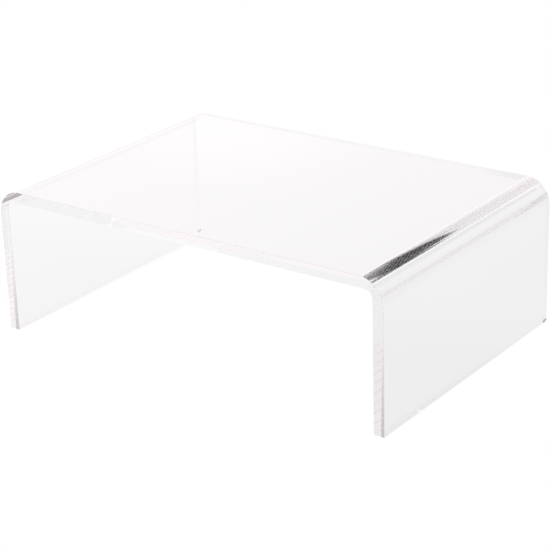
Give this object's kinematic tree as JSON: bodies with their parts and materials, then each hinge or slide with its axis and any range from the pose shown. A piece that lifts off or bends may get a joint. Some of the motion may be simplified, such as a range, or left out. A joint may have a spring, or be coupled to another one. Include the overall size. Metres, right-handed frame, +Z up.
{
  "type": "monitor riser stand",
  "caption": "Low bridge-shaped riser bent from a thick clear acrylic sheet; its flat top lifts a monitor above the desk and leaves open space beneath.",
  "frame": {"origin": "on the desk, in the middle of the riser's footprint", "axes": "+X across the riser from leg to leg, +Y from the front edge to the rear edge, +Z up from the desk"},
  "size_m": [0.381, 0.254, 0.127],
  "materials": {
    "clear_acrylic": "polished cast acrylic, glossy on all faces and on the polished cut edges"
  },
  "bodies": {
    "root": {"bent_acrylic_sheet": "clear_acrylic"}
  },
  "joints": []
}
